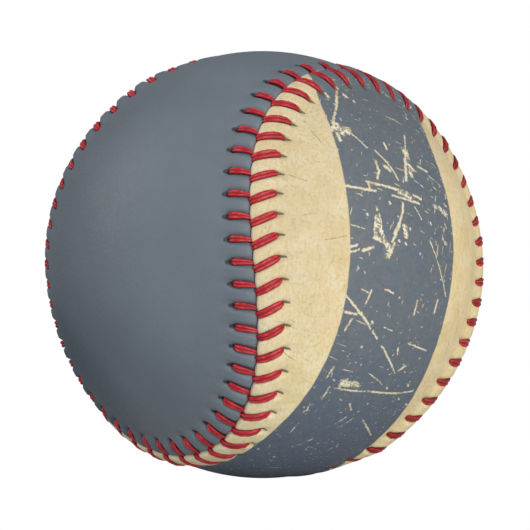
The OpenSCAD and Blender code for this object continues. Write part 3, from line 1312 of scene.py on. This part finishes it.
@dataclass
class CoverPanel(SeamPiece):
    """One leather panel: the pattern of a figure of eight, drawn up along its edge."""

    swell_h: float
    dip_h: float
    swell_to: float
    swell_from: float = 0.05
    steps: int = 12
    border_w: float = 6.4 * MM
    swell_ends: tuple[float, float] = (6.3 * MM, 1.4 * MM)
    dip_ends: tuple[float, float] = (6.0 * MM, 0.9 * MM)
    calm_share: float = 0.6
    calm_groove: float = 0.2 * MM
    roll_share: float = 0.6
    roll_w: float = 0.28 * MM
    edge_drop: float = 0.06 * MM
    edge_drop_w: float = 0.09 * MM
    edge_gap: float = 0.04 * MM
    edge_bulge: float = 0.16 * MM
    bulge_from: float = 0.10
    bulge_to: float = 0.42
    pit_depth: float = 0.6 * MM
    pit_past_hole: float = 0.25 * MM
    pit_w: float = 0.8 * MM
    pit_share: float = 0.2
    crown_lines: int = 8
    crown_pitch: float = 3.0 * MM
    weld: float = 0.002 * MM
    border_out_mm: tuple[float, ...] = (
        0.0, 0.03, 0.07, 0.13, 0.22, 0.35, 0.52, 0.75, 1.0, 1.3, 1.6, 1.95, 2.3, 2.65, 3.0,
        3.3, 3.6, 3.9, 4.25, 4.7, 5.3, 6.4,
    )

    def edge_at(self, place: np.ndarray) -> np.ndarray:
        """Distance of the panel's edge from the seam.

        The striped edge bulges over the seam between its stitches, and the plain one gives way.

        Args:
            place: Stitch numbers of this panel.

        Returns:
            Distances in metres, less than nothing past the seam.
        """
        seam_line = np.array(0.0)
        ahead = self.line.along(seam_line) - STITCH_LINES[Side.STRIPED].along(seam_line)
        met = place + ahead / PITCH
        bulge = smooth_step(self.bulge_from, self.bulge_to, np.abs(met - np.round(met)))
        return self.edge_gap / 2.0 - self.side.value * self.edge_bulge * bulge

    def height_at(self, place: np.ndarray, across: np.ndarray, edge: np.ndarray) -> np.ndarray:
        """Height of the leather over the smooth ball.

        Args:
            place: Stitch numbers of this panel.
            across: Distances from the seam.
            edge: Distances of the panel's edge from the seam.

        Returns:
            Heights in metres.
        """
        phase = place - np.round(place)
        calm = self.line.calm(self.seam.out_at(place))
        inside = across - edge
        rise = 1.0 - self.roll_share * np.exp(-inside / self.roll_w)
        high = self.swell_h * (1.0 - self.calm_share * calm)
        low = self.dip_h * (1.0 - calm) - self.calm_groove * calm
        high = high * rise * smooth_step(*self.swell_ends, across)
        low = low * rise * smooth_step(*self.dip_ends, across)
        height = low + (high - low) * smooth_step(self.swell_from, self.swell_to, np.abs(phase))
        height = height - self.edge_drop * np.exp(-inside / self.edge_drop_w)
        pit = hump(across, self.line.hole_in + self.pit_past_hole, self.pit_w)
        return height - self.pit_depth * pit * hump(phase, 0.0, self.pit_share)

    def surface(self) -> tuple[np.ndarray, np.ndarray]:
        """Works out the panel's outer face, from the seam inwards to its middle.

        Returns:
            Two arrays of columns along the seam by lines inwards: the places with the lean in
            them, and the seam map's stitch numbers and millimetres from the seam.
        """
        side, seam = self.side.value, self.seam
        count = seam.stitches * self.steps + 1
        place = (side * seam.stitches / 4 + np.arange(count) / self.steps)[:, None]
        edge = self.edge_at(place)
        out = np.array(self.border_out_mm) * MM
        across = edge + (self.border_w - edge) * out / self.border_w
        border = seam.beside(place, side * across, self.line.along(across))
        border = border * (seam.ball_r + self.height_at(place, across, edge))[..., None]
        inner = unit_rows(border[:, -1:])
        x, y, z = inner[..., 0], inner[..., 1], inner[..., 2]
        middle = unit_rows(np.stack([x - side * y, y - side * x, 2.0 * z], axis=-1))
        lines = np.arange(1, self.crown_lines + 1)
        share = (lines / self.crown_lines)[:, None]
        crown = unit_rows(inner * (1.0 - share) + middle * share) * seam.ball_r
        deep = np.broadcast_to(out[-1] + self.crown_pitch * lines, (count, self.crown_lines))
        across = np.concatenate([across, deep], axis=1)
        marks = np.stack([np.broadcast_to(place, across.shape), across / MM], axis=-1)
        return seam.lean(np.concatenate([border, crown], axis=1)), marks

    def build(self) -> bpy.types.Object:
        """Returns:
            The finished piece.
        """
        points, marks = self.surface()
        columns, lines = points.shape[:2]
        bpy.ops.object.select_all(action="DESELECT")
        bpy.ops.mesh.primitive_grid_add(
            x_subdivisions=columns - 1, y_subdivisions=lines - 1, size=2.0, location=(0, 0, 0)
        )
        piece = bpy.context.object
        flat = vertex_places(piece.data)
        column = np.rint((flat[:, 0] + 1.0) / 2.0 * (columns - 1)).astype(int)
        line = np.rint((flat[:, 1] + 1.0) / 2.0 * (lines - 1)).astype(int)
        self.write_map(piece.data, marks[column, line])
        move_vertices(piece.data, points[column, line])
        show_only(piece)
        with editing():
            bpy.ops.mesh.remove_doubles(threshold=self.weld)
            bpy.ops.mesh.normals_make_consistent(inside=False)
        self.face_outwards(piece)
        self.give_wall(piece)
        bpy.ops.object.shade_smooth()
        self.dress(piece)
        self.declare(piece, "leather")
        return piece

    def write_map(self, mesh: bpy.types.Mesh, marks: np.ndarray) -> None:
        """Writes the seam map.

        Args:
            mesh: The panel's mesh.
            marks: One pair of numbers for each vertex.
        """
        layer = self.new_map(mesh)
        corner = np.empty(len(mesh.loops), dtype=np.int32)
        mesh.loops.foreach_get("vertex_index", corner)
        layer.uv.foreach_set("vector", marks[corner].astype(np.float32).ravel())

    def face_outwards(self, piece: bpy.types.Object) -> None:
        """Turns an open panel's faces over if they point to the ball's centre.

        Args:
            piece: The open panel.
        """
        face = piece.data.polygons[len(piece.data.polygons) // 2]
        if face.normal.dot(face.center) < 0:
            piece.data.flip_normals()

    def give_wall(self, piece: bpy.types.Object) -> None:
        """Gives the panel its thickness, down to the layer under it.

        Args:
            piece: The open panel, which is the active piece.
        """
        outer = len(piece.data.vertices)
        bpy.ops.object.modifier_add(type="SOLIDIFY")
        wall = piece.modifiers[-1]
        wall.thickness = self.seam.ball_r - self.seam.inner_r
        wall.offset = -1.0
        bpy.ops.object.modifier_apply(modifier=wall.name)
        places = vertex_places(piece.data)
        places[outer:] = unit_rows(places[:outer]) * self.seam.inner_r
        move_vertices(piece.data, places)


# One ring of a strand, seen from its end: two plies on top, half widths across and half heights up
RING_POINTS = (
    (-1.0, 0.25), (-0.82, 0.78), (-0.48, 1.0), (-0.16, 0.80), (0.0, 0.62), (0.16, 0.80),
    (0.48, 1.0), (0.82, 0.78), (1.0, 0.25), (0.66, -0.40), (0.0, -0.55), (-0.66, -0.40),
)
# Per ring, from the hole to the seam: millimetres across, along, up, half width, half height
PLAIN_RINGS = (
    (3.68, 0.04, -0.50, 0.26, 0.22),
    (3.48, 0.03, -0.02, 0.50, 0.36),
    (3.02, 0.00, 0.34, 0.63, 0.42),
    (2.20, -0.06, 0.50, 0.61, 0.42),
    (1.35, -0.17, 0.54, 0.52, 0.40),
    (0.55, -0.33, 0.50, 0.40, 0.34),
    (-0.20, -0.60, 0.34, 0.30, 0.28),
)
STRIPED_RINGS = (
    (4.12, 0.20, -0.50, 0.24, 0.20),
    (3.94, 0.11, 0.02, 0.50, 0.34),
    (3.46, -0.12, 0.52, 0.68, 0.42),
    (2.50, -0.54, 0.92, 0.71, 0.44),
    (1.40, -1.02, 1.02, 0.71, 0.44),
    (0.42, -1.42, 0.84, 0.66, 0.42),
    (-0.12, -1.64, 0.30, 0.52, 0.36),
)


@dataclass
class Lacing(SeamPiece):
    """The strands of thread that show on one side of the seam."""

    rings_mm: tuple[tuple[float, ...], ...]
    ring_points: tuple[tuple[float, float], ...] = RING_POINTS
    seed: int = 11
    size_spread: float = 0.05
    skew_spread_mm: float = 0.06
    lift_spread_mm: float = 0.05
    rings_to_sink: float = 2.0

    def model_strand(self) -> bpy.types.Object:
        """Models one strand, straight and of size one, by its rings.

        Returns:
            A round bar along Z with its rings evenly apart.
        """
        bpy.ops.object.select_all(action="DESELECT")
        bpy.ops.mesh.primitive_cylinder_add(
            vertices=len(self.ring_points), radius=1.0, depth=1.0, location=(0, 0, 0)
        )
        bar = bpy.context.object
        with editing("DESELECT"):
            bpy.ops.mesh.select_mode(type="EDGE")
        for edge in bar.data.edges:
            low, high = (bar.data.vertices[i].co for i in edge.vertices)
            edge.select = abs(low.z - high.z) > 0.5
        bpy.ops.object.mode_set(mode="EDIT")
        bpy.ops.mesh.subdivide(number_cuts=len(self.rings_mm) - 2)
        bpy.ops.object.mode_set(mode="OBJECT")
        bpy.ops.object.shade_smooth()
        return bar

    def strand_places(self, ring: np.ndarray, corner: np.ndarray, stitch: int,
                      rng: np.random.Generator) -> np.ndarray:
        """Bends the straight strand to its place at one stitch.

        Args:
            ring: Ring number of each vertex, from the hole to the seam.
            corner: Number of each vertex round its ring.
            stitch: Stitch number.
            rng: Source of the small differences between strands.

        Returns:
            Places of the vertices, with the lean in them.
        """
        size = 1.0 + self.size_spread * rng.standard_normal()
        skew = self.skew_spread_mm * rng.standard_normal()
        lift = self.lift_spread_mm * rng.standard_normal()
        path = np.array(self.rings_mm)
        middle = path[ring]
        bowed = np.sin(np.linspace(0.0, math.pi, len(path)))[ring]
        tangent = unit_rows(np.gradient(path[:, :3], axis=0)[ring])
        wide = unit_rows(np.cross(tangent, np.array([0.0, 0.0, 1.0])))
        thick = np.cross(wide, tangent)
        point = np.array(self.ring_points)[corner]
        shift = (
            wide * (point[:, 0] * middle[:, 3] * size)[:, None]
            + thick * (point[:, 1] * middle[:, 4] * size)[:, None]
        ) * MM
        across = middle[:, 0] * MM + shift[:, 0]
        along = (middle[:, 1] + skew * bowed) * MM + shift[:, 1]
        place = np.full(len(ring), float(stitch))
        calm = self.line.calm(self.seam.out_at(place))
        sunk = self.line.calm_drop * calm * np.minimum(1.0, ring / self.rings_to_sink)
        up = (middle[:, 2] + lift * bowed) * MM + shift[:, 2] - sunk
        rows = self.seam.beside(place, self.side.value * across, along)
        return self.seam.lean(rows * (self.seam.ball_r + up)[:, None])

    def build(self) -> bpy.types.Object:
        """Models the strand once, copies it to every stitch and joins the copies.

        Returns:
            The finished piece.
        """
        bar = self.model_strand()
        flat = vertex_places(bar.data)
        turn = np.arctan2(flat[:, 0], flat[:, 1]) / (2.0 * math.pi)
        corner = np.rint(turn * len(self.ring_points)).astype(int) % len(self.ring_points)
        ring = np.rint((flat[:, 2] + 0.5) * (len(self.rings_mm) - 1)).astype(int)
        self.write_map(bar.data, ring, corner)
        self.dress(bar)
        rng = np.random.default_rng(self.seed + self.side.value)
        strands = []
        for stitch in range(self.seam.stitches):
            copy = bar.copy()
            copy.data = bar.data.copy()
            bpy.context.collection.objects.link(copy)
            move_vertices(copy.data, self.strand_places(ring, corner, stitch, rng))
            strands.append(copy)
        bpy.data.objects.remove(bar)
        piece = strands[0]
        show_only(piece)
        for strand in strands:
            strand.select_set(True)
        bpy.ops.object.join()
        with editing():
            bpy.ops.mesh.normals_make_consistent(inside=False)
        self.declare(piece, "lacing")
        return piece

    def write_map(self, mesh: bpy.types.Mesh, ring: np.ndarray, corner: np.ndarray) -> None:
        """Writes the strand's own map: share along it, share round it.

        Args:
            mesh: The straight strand's mesh.
            ring: Ring number of each vertex.
            corner: Number of each vertex round its ring.
        """
        layer = self.new_map(mesh)
        points, last = len(self.ring_points), len(self.rings_mm) - 1
        for face in mesh.polygons:
            around_it = [int(corner[mesh.loops[i].vertex_index]) for i in face.loop_indices]
            wraps = max(around_it) - min(around_it) > points // 2
            for loop, number in zip(face.loop_indices, around_it):
                number += points if wraps and number < points // 2 else 0
                at = mesh.loops[loop].vertex_index
                layer.uv[loop].vector = (ring[at] / last, number / points)


RED_RUBBER = MouldedRubber("red_rubber", (0.42, 0.045, 0.035), (0.50, 0.12, 0.09))
WHITE_WOOL = WoundYarn("white_wool", (0.82, 0.79, 0.71), (0.42, 0.39, 0.33), 4200.0)
WHITE_COTTON = WoundYarn("white_cotton", (0.86, 0.85, 0.80), (0.50, 0.48, 0.44), 9000.0,
                         0.12 * MM)


@dataclass
class Core:
    """The pill and the windings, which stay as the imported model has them."""

    finishes: dict[str, Finish] = field(default_factory=lambda: {
        "cork_core": GroundCork(),
        "black_half_shell_left": MouldedRubber(),
        "black_half_shell_right": MouldedRubber(),
        "red_gasket": RED_RUBBER,
        "red_jacket": RED_RUBBER,
        "inner_grey_wool": WoundYarn(),
        "white_wool": WHITE_WOOL,
        "outer_grey_wool": WoundYarn(),
        "cotton_winding": WHITE_COTTON,
        "cement_coat": DriedCement(),
    })

    def dress(self) -> None:
        """Gives every inner node its finish."""
        built: dict[str, bpy.types.Material] = {}
        for node, finish in self.finishes.items():
            if finish.name not in built:
                built[finish.name] = finish.build()
            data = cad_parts[node].data
            data.materials.clear()
            data.materials.append(built[finish.name])
            LOG.info("%s: dressed in %s", node, finish.name)


def hang(name: str, data: bpy.types.ID, place: Vector) -> bpy.types.Object:
    """Hangs a camera or a lamp at a place, turned to the ball's centre.

    Args:
        name: Name of the object.
        data: The camera or lamp.
        place: Where it hangs.

    Returns:
        The object.
    """
    thing = bpy.data.objects.new(name, data)
    thing.location = place
    thing.rotation_euler = (-place).to_track_quat("-Z", "Y").to_euler()
    bpy.context.collection.objects.link(thing)
    return thing


@dataclass(frozen=True)
class Softbox:
    """One square softbox that faces the ball."""

    name: str
    azimuth_deg: float
    elevation_deg: float
    power: float
    away: float = 1.6
    size: float = 1.2
    colour: Colour = (1.0, 0.98, 0.94)

    def build(self) -> None:
        """Adds the light."""
        data = bpy.data.lights.new(self.name, "AREA")
        data.shape = "SQUARE"
        data.size = self.size
        data.energy = self.power
        data.color = self.colour
        hang(self.name, data, around(self.azimuth_deg, self.elevation_deg, self.away))


@dataclass
class Studio:
    """Floor, light and camera."""

    azimuth_deg: float = 2.13
    elevation_deg: float = -1.14
    distance: float = 0.5194
    ball_px: float = 213.6
    centre_px: tuple[float, float] = (262.5, 264.6)
    frame_px: float = 530.0
    sensor_mm: float = 36.0
    clip: tuple[float, float] = (0.1, 50.0)
    floor_corners: int = 96
    floor_flat_r: float = 0.14
    floor_r: float = 6.0
    floor_fall: float = 0.035
    floor_growth: float = 1.6
    floor_pale: Colour = (0.90, 0.91, 0.93)
    floor_dim: Colour = (0.12, 0.14, 0.17)
    dim_ends: tuple[float, float] = (-0.12, 0.03)
    white: Colour = (1.0, 1.0, 1.0)
    brightness: float = 1.0
    sky: Colour = (0.94, 0.985, 1.07)
    ambient: float = 0.33
    softboxes: tuple[Softbox, ...] = (
        Softbox("key_softbox", 27.0, 15.0, 25.0),
        Softbox("left_softbox", -82.0, 24.0, 10.0),
    )

    def camera(self) -> None:
        """Sets the camera at the photograph's viewing angle."""
        focal_px = self.ball_px * math.sqrt((self.distance / BALL_R) ** 2 - 1.0)
        data = bpy.data.cameras.new("photo_camera")
        data.sensor_width = self.sensor_mm
        data.lens = self.sensor_mm * focal_px / self.frame_px
        data.clip_start, data.clip_end = self.clip
        data.shift_x = (self.frame_px / 2 - self.centre_px[0]) / self.frame_px
        data.shift_y = (self.centre_px[1] - self.frame_px / 2) / self.frame_px
        place = around(self.azimuth_deg, self.elevation_deg, self.distance)
        bpy.context.scene.camera = hang("photo_camera", data, place)

    def floor(self) -> None:
        """Models a pale floor, flat under the ball and falling away very slightly all round."""
        bpy.ops.object.select_all(action="DESELECT")
        bpy.ops.mesh.primitive_circle_add(
            vertices=self.floor_corners, radius=self.floor_flat_r, fill_type="NOTHING",
            location=(0, 0, CAD_BOX[0][2]),
        )
        floor = bpy.context.object
        floor.name = "floor"
        with editing():
            bpy.ops.mesh.edge_face_add()
            bpy.ops.mesh.select_all(action="DESELECT")
            bpy.ops.mesh.select_mode(type="EDGE")
            bpy.ops.mesh.select_non_manifold()
            reach = self.floor_flat_r
            while reach < self.floor_r:
                fall = -reach * (self.floor_growth - 1.0) * self.floor_fall
                bpy.ops.mesh.extrude_edges_move(TRANSFORM_OT_translate={"value": (0, 0, fall)})
                bpy.ops.transform.resize(value=(self.floor_growth, self.floor_growth, 1.0))
                reach *= self.floor_growth
            bpy.ops.mesh.select_all(action="SELECT")
            bpy.ops.mesh.normals_make_consistent(inside=False)
        bpy.ops.object.transform_apply(location=True, rotation=True, scale=True)
        if floor.data.polygons[0].normal.z < 0:
            floor.data.flip_normals()
        bpy.ops.object.shade_smooth()
        floor.data.materials.append(self.light_table())
        LOG.info("%s: %d faces", floor.name, len(floor.data.polygons))

    def light_table(self) -> bpy.types.Material:
        """Pale matt floor that the camera sees lit from below, without a shadow.

        Returns:
            The material.
        """
        material = bpy.data.materials.new("pale_floor")
        material.use_nodes = True
        graph = Graph(material.node_tree)
        place = graph.add("ShaderNodeTexCoord").outputs["Object"]
        pale = graph.tint(self.floor_dim, self.floor_pale, graph.split(place)[0], *self.dim_ends)
        glow = {"Color": self.white, "Strength": self.brightness}
        rays = graph.add("ShaderNodeLightPath")
        shown = graph.put("ShaderNodeMixShader", rays.outputs["Is Camera Ray"],
                          graph.put("ShaderNodeBsdfDiffuse", named={"Color": pale}),
                          graph.put("ShaderNodeEmission", named=glow))
        graph.feed(graph.add("ShaderNodeOutputMaterial").inputs["Surface"], shown)
        return material

    def world(self) -> None:
        """Soft light from all round; the camera sees plain white behind the ball."""
        world = bpy.data.worlds.new("studio")
        bpy.context.scene.world = world
        world.use_nodes = True
        graph = Graph(world.node_tree)
        seen = graph.add("ShaderNodeLightPath").outputs["Is Camera Ray"]
        more = self.brightness - self.ambient
        values = {
            "Color": graph.blend(seen, self.sky, self.white),
            "Strength": graph.math("MULTIPLY_ADD", seen, more, self.ambient),
        }
        back = graph.put("ShaderNodeBackground", named=values)
        graph.feed(graph.add("ShaderNodeOutputWorld").inputs["Surface"], back)

    def build(self) -> None:
        """Sets up everything round the ball."""
        settings = bpy.context.scene.view_settings
        settings.view_transform = "Standard"
        settings.look = "None"
        self.camera()
        self.floor()
        self.world()
        for softbox in self.softboxes:
            softbox.build()
        LOG.info("studio: camera, floor and %d softboxes are set", len(self.softboxes))


def main() -> None:
    """Builds the ball from the core outwards, then the studio."""
    logging.basicConfig(level=logging.INFO, format="%(name)s: %(message)s")
    seam, thread = SeamCurve(), WaxedThread()
    Core().dress()
    CoverPanel(Side.PLAIN, seam, PlainLeather(), "plain_cover_panel", "plain_leather",
               swell_h=0.98 * MM, dip_h=0.12 * MM, swell_to=0.36).build()
    CoverPanel(Side.STRIPED, seam, StripedLeather(), "striped_cover_panel", "striped_leather",
               swell_h=1.30 * MM, dip_h=0.62 * MM, swell_to=0.28).build()
    Lacing(Side.PLAIN, seam, thread, "plain_side_thread", "waxed_thread", PLAIN_RINGS).build()
    Lacing(Side.STRIPED, seam, thread, "striped_side_thread", "waxed_thread",
           STRIPED_RINGS).build()
    Studio().build()


if __name__ == "__main__":
    main()
